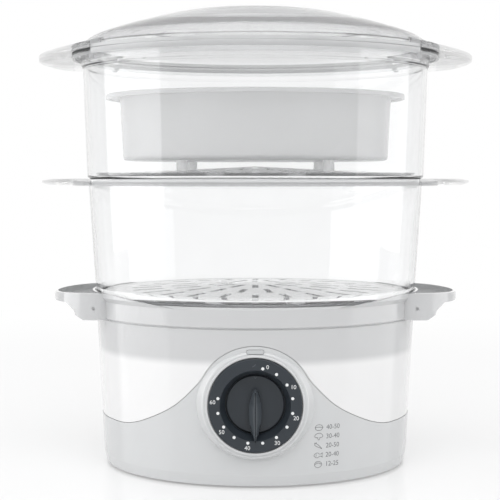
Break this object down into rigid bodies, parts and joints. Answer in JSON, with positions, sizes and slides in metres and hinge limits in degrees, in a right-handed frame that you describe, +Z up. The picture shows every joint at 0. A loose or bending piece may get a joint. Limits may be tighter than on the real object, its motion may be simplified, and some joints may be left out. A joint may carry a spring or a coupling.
{
  "type": "electric food steamer",
  "caption": "Electric food steamer: round water base with a timer dial and side handles, drip tray, stacked clear baskets with perforated floors, rice bowl and domed clear lid.",
  "frame": {"origin": "centre of the circle of rubber feet, at the height where they meet the table", "axes": "+Z up; -Y is the front, where the timer dial faces; +X is to the right seen from the front"},
  "size_m": [0.2908, 0.246, 0.3035],
  "materials": {
    "white_body": "glossy, smooth white moulding",
    "white_fascia": "glossy, smooth white moulding",
    "slate_dial": "satin dark slate with a printed minute scale",
    "slate_knob": "satin dark slate",
    "shaft_steel": "turned",
    "timer_plastic": "fine grain",
    "gong_steel": "pressed",
    "terminal_brass": "stamped",
    "screw_steel": "zinc plated",
    "lens_plastic": "clear, unlit",
    "lamp_glass": "clear",
    "tank_plastic": "smooth",
    "heater_aluminium": "satin",
    "gasket_rubber": "matt silicone",
    "element_steel": "heat-tinted sheath",
    "clamp_steel": "pressed",
    "thermostat_steel": "pressed can",
    "fuse_plastic": "glass-fibre sleeve",
    "cover_plastic": "fine grain",
    "foot_rubber": "matt",
    "gland_plastic": "fine grain",
    "block_plastic": "fine grain",
    "live_plastic": "brown sheath",
    "switched_plastic": "red sheath",
    "neutral_plastic": "blue sheath",
    "ring_plastic": "smooth",
    "tray_plastic": "smooth",
    "clear_plastic": "clear, glossy",
    "floor_plastic": "clear, glossy",
    "bowl_plastic": "smoke-grey translucent",
    "lid_plastic": "clear, glossy"
  },
  "bodies": {
    "base": {"base_housing": "white_body", "control_fascia": "white_fascia", "dial_ring": "slate_dial", "timer_case": "timer_plastic", "timer_gong": "gong_steel", "timer_terminals": "terminal_brass", "timer_screws": "screw_steel", "pilot_lens": "lens_plastic", "pilot_lamp": "lamp_glass", "water_tank": "tank_plastic", "heater_plate": "heater_aluminium", "heater_gasket": "gasket_rubber", "heating_element": "element_steel", "heater_clamp": "clamp_steel", "heater_screws": "screw_steel", "thermostat": "thermostat_steel", "thermal_fuse": "fuse_plastic", "bottom_cover": "cover_plastic", "bottom_screws": "screw_steel", "rubber_feet": "foot_rubber", "cord_gland": "gland_plastic", "terminal_block": "block_plastic", "live_wire": "live_plastic", "switched_wire": "switched_plastic", "neutral_wire": "neutral_plastic"},
    "knob": {"timer_knob": "slate_knob", "timer_shaft": "shaft_steel"},
    "steam_ring": {"steam_ring": "ring_plastic"},
    "drip_tray": {"drip_tray": "tray_plastic"},
    "lower_basket": {"lower_basket": "clear_plastic"},
    "lower_floor": {"lower_floor": "floor_plastic"},
    "upper_basket": {"upper_basket": "clear_plastic"},
    "upper_floor": {"upper_floor": "floor_plastic"},
    "rice_bowl": {"rice_bowl": "bowl_plastic"},
    "lid": {"lid": "lid_plastic"}
  },
  "joints": [
    {"name": "timer_turn", "type": "hinge", "parent": "base", "child": "knob", "pos_m": [0, -0.1, 0.0525], "axis": [0, 1, 0], "range_deg": [0, 281.25]},
    {"name": "steam_ring_lift", "type": "slide", "parent": "base", "child": "steam_ring", "axis": [0, 0, 1], "range_m": [0, 0.018]},
    {"name": "drip_tray_lift", "type": "slide", "parent": "base", "child": "drip_tray", "axis": [0, 0, 1], "range_m": [0, 0.06]},
    {"name": "lower_basket_lift", "type": "slide", "parent": "drip_tray", "child": "lower_basket", "axis": [0, 0, 1], "range_m": [0, 0.1]},
    {"name": "lower_floor_lift", "type": "slide", "parent": "lower_basket", "child": "lower_floor", "axis": [0, 0, 1], "range_m": [0, 0.05]},
    {"name": "upper_basket_lift", "type": "slide", "parent": "lower_basket", "child": "upper_basket", "axis": [0, 0, 1], "range_m": [0, 0.1]},
    {"name": "upper_floor_lift", "type": "slide", "parent": "upper_basket", "child": "upper_floor", "axis": [0, 0, 1], "range_m": [0, 0.015]},
    {"name": "rice_bowl_lift", "type": "slide", "parent": "upper_floor", "child": "rice_bowl", "axis": [0, 0, 1], "range_m": [0, 0.02]},
    {"name": "lid_lift", "type": "slide", "parent": "upper_basket", "child": "lid", "axis": [0, 0, 1], "range_m": [0, 0.12]}
  ]
}
